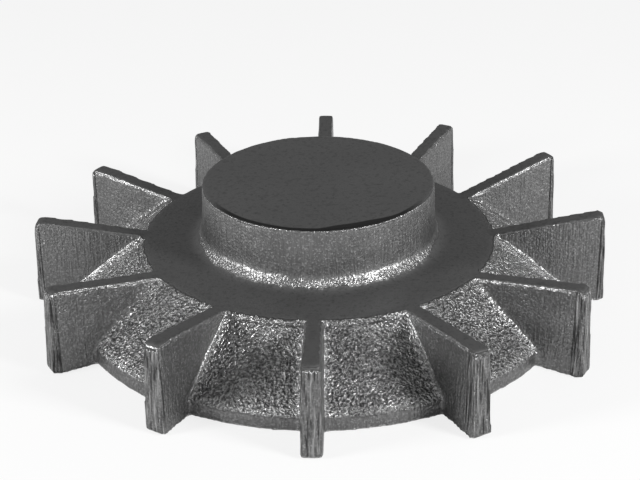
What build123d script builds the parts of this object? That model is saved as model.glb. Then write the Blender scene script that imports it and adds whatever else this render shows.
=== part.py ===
from build123d import *

import os
from math import radians, tan

# Sand-cast fan impeller: one iron casting with a boss left blank for boring, a back plate that is flat
# round the boss and then coned down to a thin rim, and flat radial blades that stand on the cone.
# Its mould parts at z = 0, the plane on which the blades' feet, the rim and the hub's foot all lie:
# the outside draws upwards and the hollow of the back draws downwards, so each wall has its draft.
# Lengths are in millimetres and drafts in degrees. +Z is up, and the origin is on the boss's axis.

# Blades
BLADE_COUNT = 12
TIP_RADIUS = 125.0  # at the blade's foot
TIP_HEIGHT = 39.0
TIP_DRAFT = 2.5
TIP_CORNER = 5.0  # round between the tip and the top edge
BLADE_THICKNESS = 6.6  # at the tip's top
BLADE_DRAFT = 1.2  # on each flank
BLADE_ROOT = 2.2  # legs of the bevel that blends each flank into the plate

# Back plate
PLATE_HEIGHT = 32.0  # top of the flat ring
PLATE_WALL = 8.0
SHOULDER_RADIUS = 75.5  # where the flat ring turns down into the cone
SHOULDER_ROUND = 4.0
RIM_RADIUS = 107.0  # at its foot
RIM_HEIGHT = 6.5
RIM_DRAFT = 3.0
RIM_EDGE = 1.5

# Boss
BOSS_RADIUS = 50.0  # at its top face
BOSS_RISE = 25.5  # above the flat ring
BOSS_DRAFT = 3.0
BOSS_FOOT_FILLET = 7.0
BOSS_EDGE = 1.0

# Hub and hollow of the back
HUB_RADIUS = 46.0  # at its foot
HUB_DRAFT = 3.0
HOLLOW_FILLET = 5.0

SURPLUS = 5.0  # extra length and height of the raw blades, trimmed off again
TOUCH = 0.01  # heights this close count as one


def slant(height, draft):
    """Sideways shift of a wall with this draft over this height."""
    return height * tan(radians(draft))


def corner(sketch, point):
    """The corner of a sketch that is nearest to a point of its plane."""
    return sketch.vertices().sort_by_distance(Vector(*point))[0]


# Places on the outside, as (radius, height)
rim_top = (RIM_RADIUS - slant(RIM_HEIGHT, RIM_DRAFT), RIM_HEIGHT)
shoulder = (SHOULDER_RADIUS, PLATE_HEIGHT)
tip_top = (TIP_RADIUS - slant(TIP_HEIGHT, TIP_DRAFT), TIP_HEIGHT)
boss_top = (BOSS_RADIUS, PLATE_HEIGHT + BOSS_RISE)
boss_foot = (BOSS_RADIUS + slant(BOSS_RISE, BOSS_DRAFT), PLATE_HEIGHT)
boss_seat = (boss_foot[0] + BOSS_FOOT_FILLET, PLATE_HEIGHT)

# Raw blades: plain drafted slabs from inside the flat ring to beyond the tips
raw_start = SHOULDER_RADIUS - SHOULDER_ROUND - SURPLUS
raw_end = TIP_RADIUS + SURPLUS
raw_height = TIP_HEIGHT + SURPLUS
foot_thickness = BLADE_THICKNESS + 2 * slant(TIP_HEIGHT, BLADE_DRAFT)

# Places in the hollow, which follows the plate at PLATE_WALL all the way
cone_run = (rim_top[0] - SHOULDER_RADIUS) / (PLATE_HEIGHT - RIM_HEIGHT)  # radius gained per height lost
cone_wall = PLATE_WALL * (1 + cone_run**2) ** 0.5  # the wall of the cone, measured along the radius
hollow_top = PLATE_HEIGHT - PLATE_WALL
hollow_shoulder = (SHOULDER_RADIUS + PLATE_WALL * cone_run - cone_wall, hollow_top)
hollow_mouth = (rim_top[0] + RIM_HEIGHT * cone_run - cone_wall, 0)
hub_foot = (HUB_RADIUS, 0)
hub_top = (HUB_RADIUS + slant(hollow_top, HUB_DRAFT), hollow_top)

with BuildPart() as impeller_casting:
    # Body of the back plate, still solid underneath
    with BuildSketch(Plane.XZ) as plate_section:
        with BuildLine():
            Polyline((0, 0), (RIM_RADIUS, 0), rim_top, shoulder, (0, PLATE_HEIGHT), close=True)
        make_face()
        chamfer(corner(plate_section, rim_top), RIM_EDGE)
        fillet(corner(plate_section, shoulder), SHOULDER_ROUND)
    revolve()

    # Raw blades, bevelled into the plate at their roots
    with BuildSketch():
        with PolarLocations((raw_start + raw_end) / 2, BLADE_COUNT):
            Rectangle(raw_end - raw_start, foot_thickness)
    extrude(amount=raw_height, taper=BLADE_DRAFT)
    roots = impeller_casting.edges(Select.NEW)
    chamfer(roots.filter_by(lambda edge: edge.center().Z > TOUCH), BLADE_ROOT)

    # Trimming by one turned outline gives the blades their tips and sloping top edges
    with BuildSketch(Plane.XZ) as outline:
        with BuildLine():
            Polyline((0, 0), (TIP_RADIUS, 0), tip_top, shoulder, (0, PLATE_HEIGHT), close=True)
        make_face()
        fillet(corner(outline, tip_top), TIP_CORNER)
    revolve(mode=Mode.INTERSECT)

    # Boss
    with BuildSketch(Plane.XZ) as boss_section:
        with BuildLine():
            Polyline(
                (0, hollow_top),
                (boss_seat[0], hollow_top),
                boss_seat,
                boss_foot,
                boss_top,
                (0, boss_top[1]),
                close=True,
            )
        make_face()
        fillet(corner(boss_section, boss_foot), BOSS_FOOT_FILLET)
        chamfer(corner(boss_section, boss_top), BOSS_EDGE)
    revolve()

    # Hollow of the back, a ring between the hub and the plate
    with BuildSketch(Plane.XZ) as hollow_section:
        with BuildLine():
            Polyline(hub_foot, hub_top, hollow_shoulder, hollow_mouth, close=True)
        make_face()
        fillet(corner(hollow_section, hub_top), HOLLOW_FILLET)
        fillet(corner(hollow_section, hollow_shoulder), HOLLOW_FILLET)
    revolve(mode=Mode.SUBTRACT)

impeller_casting.part.label = "impeller_casting"

os.makedirs("parts", exist_ok=True)
export_step(impeller_casting.part, "parts/impeller_casting.step")
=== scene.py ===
"""Sand-cast iron fan impeller: the modelled casting, its gritty skin, and the studio it stands in.

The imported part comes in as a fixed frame. The casting is modelled here from turned rings, one blade
and its root, which a fine remesh blends into one skin, as the moulding sand does.
Lengths are in metres and angles in degrees. +Z is up, and the origin is on the boss's axis.
"""

import logging
import math
from collections.abc import Callable, Iterable
from dataclasses import dataclass, field
from enum import Enum

import bmesh
import bpy
from mathutils import Matrix, Vector


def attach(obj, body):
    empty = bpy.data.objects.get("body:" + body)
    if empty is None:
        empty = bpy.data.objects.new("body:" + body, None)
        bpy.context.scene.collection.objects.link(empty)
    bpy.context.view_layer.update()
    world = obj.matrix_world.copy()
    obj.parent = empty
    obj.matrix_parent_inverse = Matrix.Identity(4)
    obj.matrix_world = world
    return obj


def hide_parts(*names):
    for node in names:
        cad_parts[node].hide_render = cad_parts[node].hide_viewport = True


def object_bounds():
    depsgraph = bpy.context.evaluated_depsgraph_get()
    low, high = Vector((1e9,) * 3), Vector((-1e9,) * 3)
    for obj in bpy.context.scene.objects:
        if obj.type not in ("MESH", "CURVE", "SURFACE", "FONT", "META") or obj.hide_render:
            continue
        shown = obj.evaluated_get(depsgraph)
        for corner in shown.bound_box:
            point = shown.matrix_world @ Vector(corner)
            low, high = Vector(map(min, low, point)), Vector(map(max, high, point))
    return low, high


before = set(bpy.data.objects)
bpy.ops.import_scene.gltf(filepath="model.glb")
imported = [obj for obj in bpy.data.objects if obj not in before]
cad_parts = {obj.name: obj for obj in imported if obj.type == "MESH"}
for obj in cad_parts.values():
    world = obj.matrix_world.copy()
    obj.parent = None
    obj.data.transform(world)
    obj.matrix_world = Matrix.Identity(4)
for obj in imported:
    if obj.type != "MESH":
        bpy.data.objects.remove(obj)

CAD_BOX = [list(corner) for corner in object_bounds()]
CAD_NODE = "impeller_casting"
MILLIMETRE = 0.001
NEAR = 0.05 * MILLIMETRE  # places this close count as one

LOG = logging.getLogger("impeller")


# ---------------------------------------------------------------- working by hand


def deselect_all() -> None:
    """Leaves edit mode and clears the selection, which the frame's loading leaves full."""
    if bpy.context.mode != "OBJECT":
        bpy.ops.object.mode_set(mode="OBJECT")
    bpy.ops.object.select_all(action="DESELECT")


def activate(piece: bpy.types.Object) -> None:
    """Makes a piece the only selected and the active object.

    Args:
        piece: The object to select.
    """
    deselect_all()
    piece.select_set(True)
    bpy.context.view_layer.objects.active = piece


def new_piece(name: str) -> bpy.types.Object:
    """Names the primitive that was just added, and its mesh too.

    Args:
        name: The name of both.

    Returns:
        The primitive's object.
    """
    piece = bpy.context.active_object
    piece.name = name
    piece.data.name = name
    return piece


def edit(piece: bpy.types.Object, kind: str = "VERT") -> None:
    """Opens a piece in edit mode with nothing selected.

    Args:
        piece: The mesh object to open.
        kind: What is selected: VERT, EDGE or FACE.
    """
    activate(piece)
    bpy.ops.object.mode_set(mode="EDIT")
    bpy.ops.mesh.select_mode(type=kind)
    bpy.ops.mesh.select_all(action="DESELECT")


def pick_vertices(piece: bpy.types.Object, wanted: Callable[[Vector], bool]) -> None:
    """Selects the vertices of a piece in edit mode whose place passes a test.

    Args:
        piece: The mesh object, in edit mode.
        wanted: Takes a vertex's place and says whether it is selected.
    """
    mesh = bmesh.from_edit_mesh(piece.data)
    for vertex in mesh.verts:
        vertex.select_set(wanted(vertex.co))
    mesh.select_flush_mode()
    bmesh.update_edit_mesh(piece.data)


def pick_edges(piece: bpy.types.Object, wanted: Callable[[Vector, Vector], bool]) -> None:
    """Selects the edges of a piece in edit mode whose two ends pass a test.

    Args:
        piece: The mesh object, in edit mode.
        wanted: Takes the places of an edge's two ends and says whether it is selected.
    """
    mesh = bmesh.from_edit_mesh(piece.data)
    for edge in mesh.edges:
        edge.select_set(wanted(edge.verts[0].co, edge.verts[1].co))
    bmesh.update_edit_mesh(piece.data)


def move(value: tuple[float, float, float]) -> None:
    """Moves what is selected in edit mode."""
    bpy.ops.transform.translate(value=value)


def stretch(value: tuple[float, float, float], centre: tuple[float, float, float]) -> None:
    """Stretches what is selected in edit mode about a place."""
    bpy.ops.transform.resize(value=value, center_override=centre)


def round_edges(size: float, steps: int, profile: float = 0.5) -> None:
    """Bevels the selected edges; a profile of 0.5 is round, and less is hollow."""
    bpy.ops.mesh.bevel(offset=size, offset_type="OFFSET", segments=steps, profile=profile)


def close_edit() -> None:
    """Goes back to object mode."""
    bpy.ops.object.mode_set(mode="OBJECT")


def add_block(name: str, centre: tuple[float, float, float],
              size: tuple[float, float, float]) -> bpy.types.Object:
    """Adds a block with its place and size in its mesh.

    Args:
        name: The block's name.
        centre: Where its middle lies.
        size: Its length, width and height.

    Returns:
        The block, for shaping.
    """
    deselect_all()
    bpy.ops.mesh.primitive_cube_add(size=1, location=centre)
    block = new_piece(name)
    block.scale = size
    bpy.ops.object.transform_apply(location=True, rotation=False, scale=True)
    return block


def apply_modifier(piece: bpy.types.Object, kind: str, **settings: object) -> None:
    """Adds one modifier to a piece and applies it.

    Args:
        piece: The mesh object that is changed.
        kind: The modifier's type, as Blender names it.
        settings: The modifier's own settings.
    """
    activate(piece)
    modifier = piece.modifiers.new(kind.title(), kind)
    for setting, value in settings.items():
        setattr(modifier, setting, value)
    bpy.ops.object.modifier_apply(modifier=modifier.name)


def draft_shift(height: float, draft: float) -> float:
    """Sideways shift of a wall with this draft in degrees over this height."""
    return height * math.tan(math.radians(draft))


# ---------------------------------------------------------------- the casting's parts


@dataclass(frozen=True)
class RingEdge:
    """One turned corner of the casting, and how it is rounded."""

    radius: float
    height: float
    round_by: float
    steps: int


@dataclass
class TurnedBody:
    """Back plate, boss and hub: all that is round about the axis, as one closed shell."""

    plate_height: float = 0.0320
    shoulder_radius: float = 0.0755
    rim_radius: float = 0.1070
    rim_height: float = 0.0065
    plate_wall: float = 0.0080
    boss_radius: float = 0.0496
    boss_top: float = CAD_BOX[1][2]
    hub_radius: float = 0.0460
    wall_draft: float = 3.0
    foot_round: float = 0.0008  # of every corner on the base plane
    hub_root_round: float = 0.0050
    hollow_round: float = 0.0040
    rim_round: float = 0.0013
    shoulder_round: float = 0.0016
    boss_foot_round: float = 0.0062
    boss_edge_round: float = 0.0009
    spokes: int = 240

    @property
    def rim_top_radius(self) -> float:
        """Radius of the rim's top edge."""
        return self.rim_radius - draft_shift(self.rim_height, self.wall_draft)

    @property
    def cone_run(self) -> float:
        """Radius that the cone gains for each unit of height it loses."""
        return (self.rim_top_radius - self.shoulder_radius) / (self.plate_height - self.rim_height)

    def cone_height(self, radius: float) -> float:
        """Height of the cone's surface at a radius."""
        return self.plate_height - (radius - self.shoulder_radius) / self.cone_run

    def corners(self) -> list[RingEdge]:
        """Lists the turned corners, from the hub's foot round the hollow and over the outside.

        Returns:
            The corners, in the order in which the shell is drawn.
        """
        roof = self.plate_height - self.plate_wall
        hub_root = self.hub_radius + draft_shift(roof, self.wall_draft)
        cone_wall = self.plate_wall * math.hypot(1.0, self.cone_run)
        hollow_end = self.shoulder_radius + self.plate_wall * self.cone_run - cone_wall
        hollow_mouth = self.rim_top_radius + self.rim_height * self.cone_run - cone_wall
        boss_rise = self.boss_top - self.plate_height
        boss_foot = self.boss_radius + draft_shift(boss_rise, self.wall_draft)
        return [
            RingEdge(self.hub_radius, 0.0, self.foot_round, 2),
            RingEdge(hub_root, roof, self.hub_root_round, 5),
            RingEdge(hollow_end, roof, self.hollow_round, 4),
            RingEdge(hollow_mouth, 0.0, self.foot_round, 2),
            RingEdge(self.rim_radius, 0.0, self.foot_round, 2),
            RingEdge(self.rim_top_radius, self.rim_height, self.rim_round, 3),
            RingEdge(self.shoulder_radius, self.plate_height, self.shoulder_round, 4),
            RingEdge(boss_foot, self.plate_height, self.boss_foot_round, 8),
            RingEdge(self.boss_radius, self.boss_top, self.boss_edge_round, 3),
        ]

    def build(self) -> bpy.types.Object:
        """Draws the shell ring by ring from the hub's foot, closes it on top and rounds it.

        Returns:
            The turned shell, closed, with its faces outwards.
        """
        corners = self.corners()
        first = corners[0]
        deselect_all()
        bpy.ops.mesh.primitive_circle_add(
            vertices=self.spokes, radius=first.radius, fill_type="NGON",
            location=(0, 0, first.height))
        body = new_piece("turned_body")
        bpy.ops.object.transform_apply(location=True, rotation=False, scale=False)
        edit(body, "EDGE")
        bpy.ops.mesh.select_all(action="SELECT")
        bpy.ops.mesh.region_to_loop()
        for last, ring in zip(corners, corners[1:]):
            growth = ring.radius / last.radius
            bpy.ops.mesh.extrude_edges_move(
                TRANSFORM_OT_translate={"value": (0, 0, ring.height - last.height)})
            stretch((growth, growth, 1), (0, 0, 0))
        bpy.ops.mesh.edge_face_add()
        for ring in corners:
            self.round_ring(body, ring)
        bpy.ops.mesh.select_all(action="SELECT")
        bpy.ops.mesh.normals_make_consistent(inside=False)
        close_edit()
        return body

    def round_ring(self, body: bpy.types.Object, ring: RingEdge) -> None:
        """Rounds one turned corner.

        Args:
            body: The shell, in edit mode.
            ring: The corner to round.
        """
        def on_ring(place: Vector) -> bool:
            """True for a place on the corner."""
            aside = abs(math.hypot(place.x, place.y) - ring.radius)
            return aside < NEAR and abs(place.z - ring.height) < NEAR

        bpy.ops.mesh.select_all(action="DESELECT")
        pick_edges(body, lambda one, other: on_ring(one) and on_ring(other))
        round_edges(ring.round_by, ring.steps)


@dataclass(frozen=True)
class BladeMark:
    """How one cast blade departs from the pattern's blade."""

    azimuth: int
    rise: float  # of the tip's top
    reach: float  # of the tip, outwards
    swing: float  # degrees round the axis


@dataclass
class Blades:
    """The flat radial blades with their roots, and the unevenness the moulding left in them."""

    tip_radius: float = CAD_BOX[1][0]
    tip_height: float = 0.0390
    tip_draft: float = 2.5
    tip_corner: float = 0.0033
    foot_corner: float = 0.0016
    top_thickness: float = 0.0071
    flank_draft: float = 1.2
    edge_round: float = 0.0004
    overlap: float = 0.0100  # how far a blade reaches into the plate
    sunk: float = 0.6  # depth of its inner end in the cone, as a share of the wall
    root_round: float = 0.0031
    root_steps: int = 5
    root_profile: float = 0.086
    root_lead: float = 0.0005  # how far a root starts inside the shoulder
    root_gap: float = 0.0003  # how far it ends short of the rim's top edge
    root_fade: float = 2.5  # length over which it rises from the shoulder, in rounds
    root_nose: tuple[float, float] = (0.6, 0.2)  # width and height left at its inner end
    marks: tuple[BladeMark, ...] = (
        BladeMark(0, 0.0028, 0.0002, 0.2),
        BladeMark(30, 0.0050, 0.0008, 0.1),
        BladeMark(60, 0.0010, 0.0006, 0.1),
        BladeMark(90, 0.0002, 0.0000, -0.5),
        BladeMark(120, -0.0030, 0.0010, -0.3),
        BladeMark(150, -0.0020, 0.0006, -0.4),
        BladeMark(180, 0.0000, 0.0004, -0.6),
        BladeMark(210, -0.0014, 0.0008, -0.3),
        BladeMark(240, 0.0002, -0.0012, 0.5),
        BladeMark(270, 0.0010, 0.0000, -0.2),
        BladeMark(300, -0.0014, 0.0026, 0.0),
        BladeMark(330, 0.0006, 0.0022, -0.9),
    )

    def half_thickness(self, height: float) -> float:
        """Half the blade's thickness at a height."""
        return self.top_thickness / 2 + draft_shift(self.tip_height - height, self.flank_draft)

    def build_blade(self, body: TurnedBody) -> bpy.types.Object:
        """Models one blade at azimuth 0 from a block: drafted, and sloped along its top.

        Args:
            body: The turned body that the blade stands on.

        Returns:
            The blade, closed.
        """
        start = body.shoulder_radius - self.overlap
        length = self.tip_radius - start
        middle = start + length / 2
        high = self.tip_height / 2
        foot = 2 * self.half_thickness(0)
        blade = add_block("blade", (middle, 0, high), (length, foot, self.tip_height))
        edit(blade)
        pick_vertices(blade, lambda place: place.z > high)
        stretch((1, self.top_thickness / foot, 1), (0, 0, self.tip_height))
        pick_vertices(blade, lambda place: place.z > high and place.x > middle)
        move((-draft_shift(self.tip_height, self.tip_draft), 0, 0))
        pick_vertices(blade, lambda place: place.z > high and place.x < middle)
        rise = self.tip_height - body.plate_height
        slope = rise / (self.tip_radius - body.shoulder_radius)
        move((0, 0, -(rise + slope * self.overlap)))
        bpy.ops.mesh.select_all(action="SELECT")
        bpy.ops.mesh.bisect(
            plane_co=(body.shoulder_radius, 0, body.plate_height - self.sunk * body.plate_wall),
            plane_no=(1, 0, body.cone_run), clear_inner=True, use_fill=True)
        close_edit()
        self.round_blade(blade, middle)
        return blade

    def round_blade(self, blade: bpy.types.Object, middle: float) -> None:
        """Rounds the tip's two corners and the long edges of the blade.

        Args:
            blade: The blade, in object mode.
            middle: Halfway along it, as a radius.
        """
        high = self.tip_height / 2
        far = self.tip_radius - 2 * self.tip_corner
        across = 0.5 * self.top_thickness

        def crosses_tip(one: Vector, other: Vector) -> bool:
            """True for an edge that runs from flank to flank at the tip."""
            return min(one.x, other.x) > far and abs(one.y - other.y) > across

        edit(blade, "EDGE")
        pick_edges(blade, lambda one, other: crosses_tip(one, other)
                   and min(one.z, other.z) > high)
        round_edges(self.tip_corner, 4)
        pick_edges(blade, lambda one, other: crosses_tip(one, other)
                   and max(one.z, other.z) < high)
        round_edges(self.foot_corner, 3)
        pick_edges(blade, lambda one, other: one.y * other.y > 0
                   and max(one.x, other.x) > middle and max(one.z, other.z) > MILLIMETRE)
        round_edges(self.edge_round, 2)
        close_edit()

    def build_root(self, body: TurnedBody) -> bpy.types.Object:
        """Models the root of the blade at azimuth 0: a low block down the cone, edges hollowed.

        Args:
            body: The turned body that the root lies on.

        Returns:
            The root, closed.
        """
        start = body.shoulder_radius - self.root_lead
        end = body.rim_top_radius - self.root_gap
        middle = (start + end) / 2
        high, low = body.cone_height(start), body.cone_height(end)
        size = self.root_round
        below = 2 * size
        half = self.half_thickness(0.5 * (high + low)) + size
        root = add_block("blade_root", (middle, 0, high + (size - below) / 2),
                         (end - start, 2 * half, size + below))
        edit(root)
        widening = draft_shift(0.5 * (high - low), self.flank_draft) / half
        pick_vertices(root, lambda place: place.x > middle)
        move((0, 0, low - high))
        stretch((1, 1 + widening, 1), (end, 0, 0))
        pick_vertices(root, lambda place: place.x < middle)
        stretch((1, 1 - widening, 1), (start, 0, 0))
        close_edit()
        edit(root, "EDGE")
        pick_edges(root, lambda one, other: one.y * other.y > 0 and abs(one.x - other.x) > size
                   and one.z > body.cone_height(one.x) and other.z > body.cone_height(other.x))
        round_edges(size, self.root_steps, self.root_profile)
        close_edit()
        edit(root)
        bpy.ops.mesh.select_all(action="SELECT")
        bpy.ops.mesh.bisect(plane_co=(start + self.root_fade * size, 0, 0), plane_no=(1, 0, 0))
        pick_vertices(root, lambda place: place.x < start + 2 * NEAR)
        nose_width, nose_height = self.root_nose
        stretch((1, nose_width, nose_height), (start, 0, high - 0.5 * size))
        close_edit()
        return root

    def misshape(self, blade: bpy.types.Object, mark: BladeMark, body: TurnedBody) -> None:
        """Gives one blade its own rise and reach, which grow from the shoulder to the tip.

        Args:
            blade: The blade at azimuth 0, with its own mesh.
            mark: How it departs from the pattern's blade.
            body: The turned body that it stands on.
        """
        span = self.tip_radius - body.shoulder_radius
        for vertex in blade.data.vertices:
            outwards = max(vertex.co.x - body.shoulder_radius, 0.0) / span
            vertex.co.x += mark.reach * outwards
            vertex.co.z += mark.rise * outwards * vertex.co.z / self.tip_height

    def build(self, body: TurnedBody) -> list[bpy.types.Object]:
        """Copies the blade and its root round the axis, each blade with its own unevenness.

        Args:
            body: The turned body that the blades stand on.

        Returns:
            All blades and roots, each with its own mesh.
        """
        blade = self.build_blade(body)
        root = self.build_root(body)
        pieces = []
        for mark in self.marks:
            turn = Matrix.Rotation(math.radians(mark.azimuth + mark.swing), 4, "Z")
            for pattern in (blade, root):
                piece = pattern.copy()
                piece.data = pattern.data.copy()
                piece.name = f"{pattern.name}_{mark.azimuth}"
                bpy.context.scene.collection.objects.link(piece)
                if pattern is blade:
                    self.misshape(piece, mark, body)
                piece.data.transform(turn)
                pieces.append(piece)
        for pattern in (blade, root):
            bpy.data.objects.remove(pattern, do_unlink=True)
        return pieces


@dataclass
class CastSkin:
    """Turns the overlapping shells into one skin, softened and uneven as sand leaves it."""

    grid: float = 0.00105
    triangles: int = 194000  # the most that the finished skin has
    soften: float = 0.5
    soften_rounds: int = 1
    swell_size: float = 0.018
    swell: float = 0.0005
    grit_size: float = 0.0042
    grit: float = 0.00035
    level_calm: float = 0.85  # share of the grit that a level face lacks
    level_power: int = 6
    upright_calm: float = 0.45  # share of the grit that an upright face lacks
    upright_limit: float = 0.5  # faces this much tilted still count as upright

    def shape(self, shells: Iterable[bpy.types.Object]) -> bpy.types.Object:
        """Joins the shells, remeshes them into one skin and gives it its unevenness.

        Args:
            shells: The closed shells, which overlap.

        Returns:
            The casting as one closed mesh.
        """
        shells = list(shells)
        activate(shells[0])
        for shell in shells[1:]:
            shell.select_set(True)
        bpy.ops.object.join()
        casting = new_piece("cast_impeller")
        apply_modifier(casting, "REMESH", mode="VOXEL", voxel_size=self.grid, adaptivity=0.0)
        apply_modifier(casting, "SMOOTH", factor=self.soften, iterations=self.soften_rounds)
        self.roughen(casting)
        self.thin(casting)
        self.fit_box(casting)
        activate(casting)
        bpy.ops.object.shade_smooth()
        return casting

    def roughen(self, casting: bpy.types.Object) -> None:
        """Pushes the skin in and out: swells everywhere, and grit most of all on the slopes.

        Args:
            casting: The remeshed casting.
        """
        rough = casting.vertex_groups.new(name="rough")
        for vertex in casting.data.vertices:
            level = max(vertex.normal.z, 0.0)
            upright = max(1.0 - abs(vertex.normal.z) / self.upright_limit, 0.0)
            share = 1.0 - self.level_calm * level**self.level_power - self.upright_calm * upright
            rough.add([vertex.index], share, "REPLACE")
        swells = self.clouds("swells", self.swell_size, 1)
        grit = self.clouds("grit", self.grit_size, 2)
        apply_modifier(casting, "DISPLACE", texture=swells, texture_coords="LOCAL",
                       strength=self.swell, mid_level=0.5)
        apply_modifier(casting, "DISPLACE", texture=grit, texture_coords="LOCAL",
                       strength=self.grit, mid_level=0.5, vertex_group=rough.name)
        casting.vertex_groups.clear()

    def clouds(self, name: str, size: float, depth: int) -> bpy.types.Texture:
        """Makes a procedural pattern of lumps.

        Args:
            name: The pattern's name.
            size: How large its lumps are.
            depth: How many finer layers it has.

        Returns:
            The pattern, for a displacement.
        """
        pattern = bpy.data.textures.new(name, "CLOUDS")
        pattern.noise_scale = size
        pattern.noise_depth = depth
        return pattern

    def thin(self, casting: bpy.types.Object) -> None:
        """Merges faces where the skin is flattest, until few enough triangles are left.

        Args:
            casting: The roughened casting.
        """
        triangles = sum(len(face.vertices) - 2 for face in casting.data.polygons)
        apply_modifier(casting, "DECIMATE", decimate_type="COLLAPSE",
                       ratio=min(self.triangles / triangles, 1.0))

    def fit_box(self, casting: bpy.types.Object) -> None:
        """Keeps the skin inside the part's box: what reaches past it is pressed flat.

        Args:
            casting: The roughened casting.
        """
        low, high = CAD_BOX
        for vertex in casting.data.vertices:
            for axis in range(3):
                vertex.co[axis] = min(max(vertex.co[axis], low[axis]), high[axis])


# ---------------------------------------------------------------- finishes

Socket = bpy.types.NodeSocket


@dataclass(frozen=True)
class Fade:
    """A stretch of one value, and the stretch of another that it turns into smoothly."""

    low: float
    high: float
    start: float = 0.0
    end: float = 1.0


class Nodes:
    """Short ways to add and link the nodes of one material."""

    def __init__(self, name: str) -> None:
        """Makes an empty node material.

        Args:
            name: The material's name.
        """
        self.material = bpy.data.materials.new(name)
        self.material.use_nodes = True
        self.tree = self.material.node_tree
        self.tree.nodes.clear()

    def add(self, kind: str, inputs: dict[str, object] | None = None,
            **settings: object) -> bpy.types.Node:
        """Adds a node.

        Args:
            kind: The node's type, without the ShaderNode in front.
            inputs: Socket names with a value or an output socket to link.
            settings: The node's own settings.

        Returns:
            The new node.
        """
        node = self.tree.nodes.new("ShaderNode" + kind)
        for setting, value in settings.items():
            setattr(node, setting, value)
        for socket, value in (inputs or {}).items():
            self.feed(node.inputs[socket], value)
        return node

    def feed(self, socket: Socket, value: object) -> None:
        """Links an output socket into a socket, or sets the socket's own value.

        Args:
            socket: The input socket.
            value: An output socket, or a plain value.
        """
        if isinstance(value, Socket):
            self.tree.links.new(value, socket)
        else:
            socket.default_value = value

    def math(self, operation: str, one: object, other: object = 0.0) -> Socket:
        """Works out one sum of two values.

        Args:
            operation: The sum, as Blender names it.
            one: The first value or socket.
            other: The second value or socket.

        Returns:
            The output socket.
        """
        node = self.add("Math", operation=operation)
        self.feed(node.inputs[0], one)
        self.feed(node.inputs[1], other)
        return node.outputs[0]

    def chain(self, operation: str, values: tuple[object, ...]) -> Socket:
        """Works out one sum over several values, from the first to the last.

        Args:
            operation: The sum, as Blender names it.
            values: The values or sockets.

        Returns:
            The output socket.
        """
        result = values[0]
        for value in values[1:]:
            result = self.math(operation, result, value)
        return result

    def times(self, *values: object) -> Socket:
        """Multiplies several values."""
        return self.chain("MULTIPLY", values)

    def plus(self, *values: object) -> Socket:
        """Adds up several values."""
        return self.chain("ADD", values)

    def most(self, *values: object) -> Socket:
        """Takes the largest of several values."""
        return self.chain("MAXIMUM", values)

    def ramp(self, value: object, fade: Fade) -> Socket:
        """Maps a value by a fade.

        Args:
            value: The value or socket.
            fade: What it turns into.

        Returns:
            The output socket.
        """
        node = self.add("MapRange", interpolation_type="SMOOTHSTEP")
        for socket, number in zip(node.inputs, (value, fade.low, fade.high, fade.start, fade.end)):
            self.feed(socket, number)
        return node.outputs[0]

    def between(self, share: object, none: float, full: float) -> Socket:
        """Goes from the value for no share to the value for a full share."""
        return self.ramp(share, Fade(0.0, 1.0, none, full))

    def mix(self, share: object, one: object, other: object) -> Socket:
        """Mixes two colours.

        Args:
            share: How much of the second colour there is.
            one: The first colour or socket.
            other: The second colour or socket.

        Returns:
            The output socket.
        """
        node = self.add("Mix", data_type="RGBA")
        colours = [socket for socket in node.inputs if socket.type == "RGBA"]
        self.feed(node.inputs[0], share)
        self.feed(colours[0], one)
        self.feed(colours[1], other)
        return next(socket for socket in node.outputs if socket.type == "RGBA")


def grey(level: float) -> tuple[float, float, float, float]:
    """Makes a neutral colour.

    Args:
        level: How light it shows, from 0 to 1.

    Returns:
        The colour as linear red, green, blue and alpha.
    """
    linear = level / 12.92 if level <= 0.04045 else ((level + 0.055) / 1.055) ** 2.4
    return (linear, linear, linear, 1.0)


@dataclass(frozen=True)
class Surface:
    """Where a point of the skin lies and how far it faces upwards, as node outputs."""

    here: Socket
    facing: Socket
    x: Socket
    y: Socket
    z: Socket
    radius: Socket


@dataclass(frozen=True)
class Sand:
    """The patterns that the moulding sand left, as node outputs."""

    fine: Socket
    coarse: Socket
    grain: Socket
    streaks: Socket
    patches: Socket


@dataclass(frozen=True)
class Shares:
    """How far a point belongs to each kind of face, as node outputs."""

    front: Socket
    level: Socket
    upright: Socket
    slope: Socket
    streak: Socket


@dataclass(frozen=True)
class IronTones:
    """The greys of the iron, and of the painted highlights and painted shade laid on it."""

    level: float = 0.385
    slope: float = 0.46
    wall: float = 0.42
    # light grey of the painted highlights on grit crests, streak ridges and bends, and of the random
    # light specks on upright faces
    highlight_and_speck: float = 0.74
    # dark grey of the painted shade in grit pits and streak grooves, and of the random dark flecks on
    # level faces
    pit_shade_and_fleck: float = 0.25
    # darkest grey: painted shadow along the front of the boss's top edge
    edge_shadow: float = 0.16


@dataclass(frozen=True)
class SandGrain:
    """The grit on the slopes: a sum of fine noise, coarse noise and domes."""

    size: float = 0.0009
    depth: float = 0.0030
    coarse_scale: float = 0.45
    dome_scale: float = 0.62
    dome_reach: float = 0.95
    weights: tuple[float, float, float] = (0.60, 0.20, 0.30)
    # where on the grit the painted highlight of the crests sets in
    crest_highlight: Fade = Fade(0.50, 0.62)
    # how deep in the grit the painted shade of the pits sets in
    pit_shade_and_fleck: Fade = Fade(0.45, 0.36, 0.0, 0.7)
    speck: Fade = Fade(0.54, 0.70, 0.0, 0.40)
    flecks: tuple[Fade, Fade] = (Fade(0.56, 0.72, 0.0, 0.35), Fade(0.50, 0.75, 0.0, 0.35))
    patch_scale: float = 45.0
    patch: Fade = Fade(0.3, 0.7, 0.6, 1.3)


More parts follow.
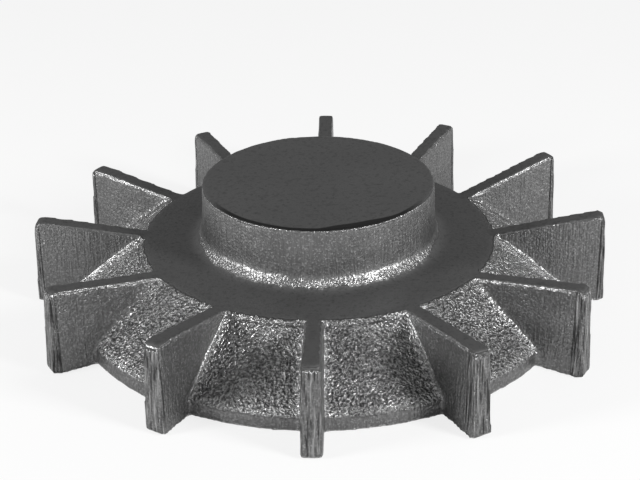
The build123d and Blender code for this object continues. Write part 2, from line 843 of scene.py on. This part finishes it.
@dataclass(frozen=True)
class DrawStreaks:
    """The streaks that drawing the pattern out of the sand left on upright faces."""

    size: float = 0.0008
    length: float = 0.0120
    depth: float = 0.0026
    off_tips: float = 0.13  # share of them that faces other than the tips have
    # painted highlight on the streaks' ridges
    ridge_highlight: Fade = Fade(0.52, 0.70, 0.0, 0.75)
    # painted shade in the streaks' grooves
    groove_shade: Fade = Fade(0.48, 0.34)


@dataclass(frozen=True)
class SkinZones:
    """Where each kind of face begins and ends: by facing, or by place in metres."""

    upright: Fade = Fade(0.70, 0.10)
    level: Fade = Fade(0.84, 0.96)
    surely_level: Fade = Fade(0.970, 0.985)
    ragged: float = 0.20  # how far the grain breaks up the edge of the level faces
    blade_ends: Fade = Fade(0.112, 0.118, 0.0, 0.20)
    tips: Fade = Fade(0.1215, 0.1225)
    blade_top_height: Fade = Fade(0.0290, 0.0310)
    blade_top_radius: Fade = Fade(0.0765, 0.0785)
    blade_top_facing: Fade = Fade(0.10, 0.30)
    front: Fade = Fade(-0.012, -0.034)
    boss_foot: Fade = Fade(0.0640, 0.0600)
    boss_foot_tilt: tuple[float, float] = (0.30, 0.12)  # elsewhere and at the front; away from the front more of the foot counts as level and takes the darker level grey: painted shade on the foot's sides
    boss_calm: Fade = Fade(0.0600, 0.0660, 0.42, 1.0)
    # where the painted highlights lie: along the blade roots, on the front of the boss's foot and on
    # the rim's top edge
    blade_root: Fade = Fade(0.0085, 0.0055)
    foot_highlight: Fade = Fade(0.0620, 0.0570, 0.0, 0.30)
    rim_inside: Fade = Fade(0.1030, 0.1050)
    rim_outside: Fade = Fade(0.1085, 0.1070)
    # where the painted light on the boss's front wall lies: lighter towards its foot
    wall_foot_height: Fade = Fade(0.0450, 0.0350)
    wall_foot_radius: Fade = Fade(0.0600, 0.0580)
    above_ring: Fade = Fade(0.0318, 0.0322)
    # where the painted shadow on the boss's top lies: a thin band along its front edge, wider at the
    # front right
    shadow_inside: Fade = Fade(0.0470, 0.0478)
    shadow_outside: Fade = Fade(0.0496, 0.0492)
    shadow_front: Fade = Fade(-0.018, -0.034)
    shadow_wide_from: Fade = Fade(0.000, 0.010)
    shadow_wide_to: Fade = Fade(0.034, 0.020)
    shadow_widening: float = 0.0022


@dataclass(frozen=True)
class CastIron:
    """Dark iron as it comes out of the sand: dull on level faces, gritty on the slopes."""

    tones: IronTones = IronTones()
    grain: SandGrain = SandGrain()
    streaks: DrawStreaks = DrawStreaks()
    zones: SkinZones = SkinZones()
    level_grit: float = 0.09  # shares of the grit that other faces than slopes have
    upright_grit: float = 0.17
    blade_top_grit: float = 0.2
    plain_highlight: float = 0.60  # share of the painted crest highlight that lies off roots, foot and rim
    # strength of the painted highlight along the blade roots, the front of the boss's foot and the
    # rim's top edge
    bend_highlight: float = 0.4
    # strength of the painted light at the foot of the boss's front wall
    wall_foot_light: float = 0.13
    roughness: float = 0.33
    roughness_spread: tuple[float, float] = (0.05, 0.06)  # below and above
    level_dullness: float = 0.27
    metallic: float = 0.80
    blades: int = 12

    def material(self) -> bpy.types.Material:
        """Builds the finish.

        Returns:
            The node material.
        """
        nodes = Nodes("cast_iron_skin")
        surface = self.read_surface(nodes)
        sand = self.lay_sand(nodes, surface)
        shares = self.sort_faces(nodes, surface, sand)
        shader = nodes.add("BsdfPrincipled", {
            "Base Color": nodes.mix(shares.level, self.side_tone(nodes, surface, sand, shares),
                                    self.flat_tone(nodes, surface, sand)),
            "Roughness": self.gloss(nodes, sand, shares),
            "Metallic": self.metallic,
            "Normal": self.relief(nodes, sand, shares),
        })
        nodes.add("OutputMaterial", {"Surface": shader.outputs["BSDF"]})
        return nodes.material

    def read_surface(self, nodes: Nodes) -> Surface:
        """Reads a point's place, its radius from the axis and its facing.

        Args:
            nodes: The material's nodes.

        Returns:
            The readings.
        """
        place = nodes.add("TexCoord")
        here = place.outputs["Object"]
        facing = nodes.add("SeparateXYZ", {"Vector": place.outputs["Normal"]}).outputs["Z"]
        x, y, z = nodes.add("SeparateXYZ", {"Vector": here}).outputs
        squares = nodes.plus(nodes.math("POWER", x, 2.0), nodes.math("POWER", y, 2.0))
        return Surface(here, facing, x, y, z, nodes.math("SQRT", squares))

    def lay_sand(self, nodes: Nodes, surface: Surface) -> Sand:
        """Adds the patterns of grit, streaks and patches.

        Args:
            nodes: The material's nodes.
            surface: The point's readings.

        Returns:
            The patterns.
        """
        def noise(vector: Socket, scale: float, detail: float) -> Socket:
            """Adds one noise."""
            return nodes.add("TexNoise", {"Vector": vector, "Scale": scale,
                                          "Detail": detail}).outputs["Fac"]

        grain = self.grain
        fine = noise(surface.here, 1 / grain.size, 1.0)
        coarse = noise(surface.here, grain.coarse_scale / grain.size, 1.0)
        domes = nodes.add("TexVoronoi", {"Vector": surface.here,
                                         "Scale": grain.dome_scale / grain.size})
        bulge = nodes.math("SUBTRACT", grain.dome_reach, domes.outputs["Distance"])
        parts = [nodes.times(part, weight)
                 for part, weight in zip((fine, coarse, bulge), grain.weights)]
        along = (1 / self.streaks.size, 1 / self.streaks.size, 1 / self.streaks.length)
        drawn = nodes.add("Mapping", {"Vector": surface.here, "Scale": along}).outputs["Vector"]
        return Sand(fine, coarse, nodes.plus(*parts), noise(drawn, 1.0, 2.0),
                    noise(surface.here, grain.patch_scale, 3.0))

    def sort_faces(self, nodes: Nodes, surface: Surface, sand: Sand) -> Shares:
        """Tells level, upright and sloping faces apart, with ragged edges between them.

        Args:
            nodes: The material's nodes.
            surface: The point's readings.
            sand: The sand's patterns.

        Returns:
            The shares of each kind of face.
        """
        zones, facing, radius = self.zones, surface.facing, surface.radius
        upright = nodes.ramp(nodes.math("ABSOLUTE", facing), zones.upright)
        front = nodes.ramp(surface.y, zones.front)
        # The boss's foot counts as more level away from the front, so it takes the darker level grey
        # there: painted shade on its sides.
        boss_foot = nodes.times(nodes.ramp(radius, zones.boss_foot),
                                nodes.between(front, *zones.boss_foot_tilt))
        ragged = nodes.times(nodes.math("SUBTRACT", sand.coarse, 0.5), zones.ragged)
        tilt = nodes.plus(nodes.plus(facing, nodes.ramp(radius, zones.blade_ends)),
                          nodes.plus(ragged, boss_foot))
        level = nodes.most(nodes.ramp(tilt, zones.level), nodes.ramp(facing, zones.surely_level))
        blade_top = nodes.times(nodes.ramp(surface.z, zones.blade_top_height),
                                nodes.ramp(radius, zones.blade_top_radius),
                                nodes.ramp(facing, zones.blade_top_facing))
        slope = nodes.times(nodes.between(level, 1.0, self.level_grit),
                            nodes.between(upright, 1.0, self.upright_grit),
                            nodes.between(blade_top, 1.0, self.blade_top_grit),
                            nodes.ramp(radius, zones.boss_calm))
        tips = nodes.ramp(radius, zones.tips)
        streak = nodes.times(upright, nodes.between(tips, self.streaks.off_tips, 1.0))
        return Shares(front, level, upright, slope, streak)

    def relief(self, nodes: Nodes, sand: Sand, shares: Shares) -> Socket:
        """Raises the grit and the streaks, finer than the mesh can carry them.

        Args:
            nodes: The material's nodes.
            sand: The sand's patterns.
            shares: The kinds of face.

        Returns:
            The bent normal.
        """
        grit = nodes.times(shares.slope, nodes.ramp(sand.patches, self.grain.patch))
        gritty = nodes.add("Bump", {"Height": nodes.times(sand.grain, grit),
                                    "Strength": 1.0, "Distance": self.grain.depth})
        drawn = nodes.add("Bump", {"Height": nodes.times(sand.streaks, shares.streak),
                                   "Strength": 1.0, "Distance": self.streaks.depth,
                                   "Normal": gritty.outputs["Normal"]})
        return drawn.outputs["Normal"]

    def side_tone(self, nodes: Nodes, surface: Surface, sand: Sand, shares: Shares) -> Socket:
        """Colours slopes and upright faces: painted highlights on crests, ridges and bends, painted
        shade in pits and grooves, and light specks on upright faces.

        Args:
            nodes: The material's nodes.
            surface: The point's readings.
            sand: The sand's patterns.
            shares: The kinds of face.

        Returns:
            The colour.
        """
        zones, radius, highlight_and_speck = self.zones, surface.radius, grey(self.tones.highlight_and_speck)
        # Painted highlights along the blade roots, on the front of the boss's foot and on the rim's
        # top edge.
        bearing = nodes.math("ARCTAN2", surface.y, surface.x)
        aside = nodes.math("PINGPONG", bearing, math.pi / self.blades)
        root = nodes.ramp(nodes.times(aside, radius), zones.blade_root)
        foot = nodes.times(nodes.ramp(radius, zones.foot_highlight), shares.front)
        rim = nodes.times(nodes.ramp(radius, zones.rim_inside),
                          nodes.ramp(radius, zones.rim_outside))
        bent = nodes.most(root, foot, rim)
        tone = nodes.mix(shares.upright, grey(self.tones.slope), grey(self.tones.wall))
        tone = nodes.mix(nodes.times(bent, shares.slope, self.bend_highlight), tone, highlight_and_speck)
        # Painted light: the boss's front wall lighter towards its foot.
        wall_foot = nodes.times(
            nodes.times(nodes.ramp(surface.z, zones.wall_foot_height),
                        nodes.ramp(radius, zones.wall_foot_radius)),
            nodes.times(shares.front, nodes.ramp(surface.z, zones.above_ring)))
        tone = nodes.mix(nodes.times(wall_foot, self.wall_foot_light), tone, highlight_and_speck)
        # Painted highlights on the grit's crests, strongest on the bends, and on the streaks' ridges;
        # the specks on upright faces are random light tone.
        crest_highlight = nodes.times(nodes.ramp(sand.grain, self.grain.crest_highlight),
                            nodes.between(bent, self.plain_highlight, 1.0), shares.slope)
        ridge_highlight = nodes.times(nodes.ramp(sand.streaks, self.streaks.ridge_highlight), shares.streak)
        speck = nodes.times(nodes.ramp(sand.fine, self.grain.speck), shares.upright)
        tone = nodes.mix(nodes.most(crest_highlight, ridge_highlight, speck), tone, highlight_and_speck)
        # Painted shade: darker in the grit's pits and in the streaks' grooves.
        pit_shade_and_fleck = nodes.times(nodes.ramp(sand.grain, self.grain.pit_shade_and_fleck), shares.slope)
        groove_shade = nodes.times(nodes.ramp(sand.streaks, self.streaks.groove_shade), shares.streak)
        return nodes.mix(nodes.most(pit_shade_and_fleck, groove_shade), tone, grey(self.tones.pit_shade_and_fleck))

    def flat_tone(self, nodes: Nodes, surface: Surface, sand: Sand) -> Socket:
        """Colours level faces: dark flecks, and a painted shadow in a thin band along the front of
        the boss's top edge.

        Args:
            nodes: The material's nodes.
            surface: The point's readings.
            sand: The sand's patterns.

        Returns:
            The colour.
        """
        zones, radius = self.zones, surface.radius
        fine_fleck, coarse_fleck = self.grain.flecks
        fleck = nodes.plus(nodes.ramp(sand.fine, fine_fleck), nodes.ramp(sand.coarse, coarse_fleck))
        # Painted shadow: a thin dark band on the boss's top along its front edge, wider at its front
        # right.
        wide = nodes.times(nodes.ramp(surface.x, zones.shadow_wide_from),
                           nodes.ramp(surface.x, zones.shadow_wide_to))
        inwards = nodes.plus(radius, nodes.times(wide, zones.shadow_widening))
        edge_shadow = nodes.times(nodes.ramp(inwards, zones.shadow_inside),
                          nodes.ramp(radius, zones.shadow_outside),
                          nodes.ramp(surface.y, zones.shadow_front))
        flat = nodes.mix(fleck, grey(self.tones.level), grey(self.tones.pit_shade_and_fleck))
        return nodes.mix(edge_shadow, flat, grey(self.tones.edge_shadow))

    def gloss(self, nodes: Nodes, sand: Sand, shares: Shares) -> Socket:
        """Varies the roughness in patches, and dulls the level faces.

        Args:
            nodes: The material's nodes.
            sand: The sand's patterns.
            shares: The kinds of face.

        Returns:
            The roughness.
        """
        below, above = self.roughness_spread
        patch = self.grain.patch
        spread = Fade(patch.low, patch.high, self.roughness - below, self.roughness + above)
        return nodes.plus(nodes.ramp(sand.patches, spread),
                          nodes.times(shares.level, self.level_dullness))


@dataclass(frozen=True)
class PaleFloor:
    """Matt white floor that looks near white to the eye and still takes the object's shadow."""

    tone: float = 0.90
    lift: float = 0.80  # share of plain white that the eye sees

    def material(self) -> bpy.types.Material:
        """Builds the finish.

        Returns:
            The node material.
        """
        nodes = Nodes("pale_floor")
        matt = nodes.add("BsdfDiffuse", {"Color": grey(self.tone)})
        white = nodes.add("Emission", {"Color": (1, 1, 1, 1), "Strength": 1.0})
        path = nodes.add("LightPath")
        surface = nodes.add("MixShader", {"Fac": nodes.times(path.outputs["Is Camera Ray"],
                                                             self.lift)})
        nodes.feed(surface.inputs[1], matt.outputs[0])
        nodes.feed(surface.inputs[2], white.outputs[0])
        nodes.add("OutputMaterial", {"Surface": surface.outputs[0]})
        return nodes.material


# ---------------------------------------------------------------- the whole


@dataclass
class Impeller:
    """The whole casting."""

    body: TurnedBody = field(default_factory=TurnedBody)
    blades: Blades = field(default_factory=Blades)
    skin: CastSkin = field(default_factory=CastSkin)
    finish: CastIron = CastIron()

    def build(self) -> bpy.types.Object:
        """Models the casting, dresses it and puts it in the place of its solid.

        Returns:
            The finished casting.
        """
        shells = [self.body.build()] + self.blades.build(self.body)
        casting = self.skin.shape(shells)
        casting.data.materials.clear()
        casting.data.materials.append(self.finish.material())
        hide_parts(CAD_NODE)
        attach(casting, "root")
        return casting


class LampRole(Enum):
    """What each lamp is for."""

    KEY = "key"
    SIDE = "side"


@dataclass(frozen=True)
class Lamp:
    """A soft square lamp that points at the object."""

    role: LampRole
    place: tuple[float, float, float]
    width: float
    power: float

    def build(self, target: Vector) -> None:
        """Hangs the lamp.

        Args:
            target: The point that it is turned to.
        """
        light = bpy.data.lights.new(f"lamp_{self.role.value}", "AREA")
        light.shape = "SQUARE"
        light.size = self.width
        light.energy = self.power
        lamp = bpy.data.objects.new(light.name, light)
        lamp.location = self.place
        beam = target - Vector(self.place)
        lamp.rotation_euler = beam.to_track_quat("-Z", "Y").to_euler()
        bpy.context.scene.collection.objects.link(lamp)


@dataclass
class Studio:
    """Pale floor, soft lamps and the camera."""

    azimuth: float = 1.65
    elevation: float = 26.84
    distance: float = 0.6467
    roll: float = -0.93
    lens_over_width: float = 2.308  # focal length as a share of the picture's width
    sensor: float = 36.0
    nearest: float = 0.01  # what lies nearer to the camera isn't drawn
    aim_height: float = 0.0250
    aim_aside: float = 0.00040  # shift of the aim across the view
    aim_up: float = 0.00323  # shift of the aim up the view
    floor_size: float = 12.0
    floor_gap: float = 0.0001  # between the casting's feet and the floor
    world_strength: float = 0.32
    floor: PaleFloor = PaleFloor()
    lamps: tuple[Lamp, ...] = (
        Lamp(LampRole.KEY, (0.82, -0.53, 0.50), 0.24, 11.5),
        Lamp(LampRole.SIDE, (-0.94, -0.42, 0.38), 0.26, 10.0),
    )

    def build(self) -> None:
        """Sets up the floor, the lamps, the world and the camera."""
        self.build_floor()
        target = Vector((0, 0, self.aim_height))
        for lamp in self.lamps:
            lamp.build(target)
        self.build_world()
        self.build_camera(target)
        bpy.context.scene.view_settings.view_transform = "Standard"

    def build_floor(self) -> None:
        """Lays the floor just under the casting."""
        deselect_all()
        bpy.ops.mesh.primitive_plane_add(size=self.floor_size, location=(0, 0, -self.floor_gap))
        floor = new_piece("floor")
        bpy.ops.object.transform_apply(location=True, rotation=False, scale=False)
        floor.data.materials.append(self.floor.material())

    def build_world(self) -> None:
        """Gives a dim even light, and plain white where the eye looks past the floor."""
        world = bpy.data.worlds.new("studio")
        bpy.context.scene.world = world
        world.use_nodes = True
        tree = world.node_tree
        tree.nodes.clear()
        path = tree.nodes.new("ShaderNodeLightPath")
        mixed = tree.nodes.new("ShaderNodeMixShader")
        tree.links.new(path.outputs["Is Camera Ray"], mixed.inputs[0])
        for place, strength in enumerate((self.world_strength, 1.0), start=1):
            light = tree.nodes.new("ShaderNodeBackground")
            light.inputs["Color"].default_value = (1, 1, 1, 1)
            light.inputs["Strength"].default_value = strength
            tree.links.new(light.outputs[0], mixed.inputs[place])
        output = tree.nodes.new("ShaderNodeOutputWorld")
        tree.links.new(mixed.outputs[0], output.inputs["Surface"])

    def camera_place(self, target: Vector) -> Matrix:
        """Works out where the camera stands on its arc round the target, and how it is turned.

        Args:
            target: The point on the axis that the arc is centred on.

        Returns:
            The camera's matrix.
        """
        azimuth, elevation, roll = map(math.radians, (self.azimuth, self.elevation, self.roll))
        back = Vector((math.sin(azimuth) * math.cos(elevation),
                       -math.cos(azimuth) * math.cos(elevation), math.sin(elevation)))
        across = Vector((math.cos(azimuth), math.sin(azimuth), 0))
        upwards = back.cross(across)
        right = math.cos(roll) * across + math.sin(roll) * upwards
        up = -math.sin(roll) * across + math.cos(roll) * upwards
        place = target + self.distance * back
        aim = target + self.aim_aside * right + self.aim_up * up
        back = (place - aim).normalized()
        right = (right - right.dot(back) * back).normalized()
        up = back.cross(right)
        return Matrix((
            (right.x, up.x, back.x, place.x),
            (right.y, up.y, back.y, place.y),
            (right.z, up.z, back.z, place.z),
            (0, 0, 0, 1)))

    def build_camera(self, target: Vector) -> None:
        """Sets up the camera and makes it the scene's.

        Args:
            target: The point on the axis that it is turned to, apart from small shifts.
        """
        data = bpy.data.cameras.new("camera")
        data.sensor_fit = "HORIZONTAL"
        data.sensor_width = self.sensor
        data.lens = self.lens_over_width * self.sensor
        data.clip_start = self.nearest
        camera = bpy.data.objects.new("camera", data)
        camera.matrix_world = self.camera_place(target)
        bpy.context.scene.collection.objects.link(camera)
        bpy.context.scene.camera = camera


def main() -> None:
    """Builds the casting and the studio."""
    logging.basicConfig(level=logging.INFO, format="%(name)s: %(message)s")
    casting = Impeller().build()
    LOG.info("%s: %d faces", casting.name, len(casting.data.polygons))
    Studio().build()
    LOG.info("studio ready")


if __name__ == "__main__":
    main()
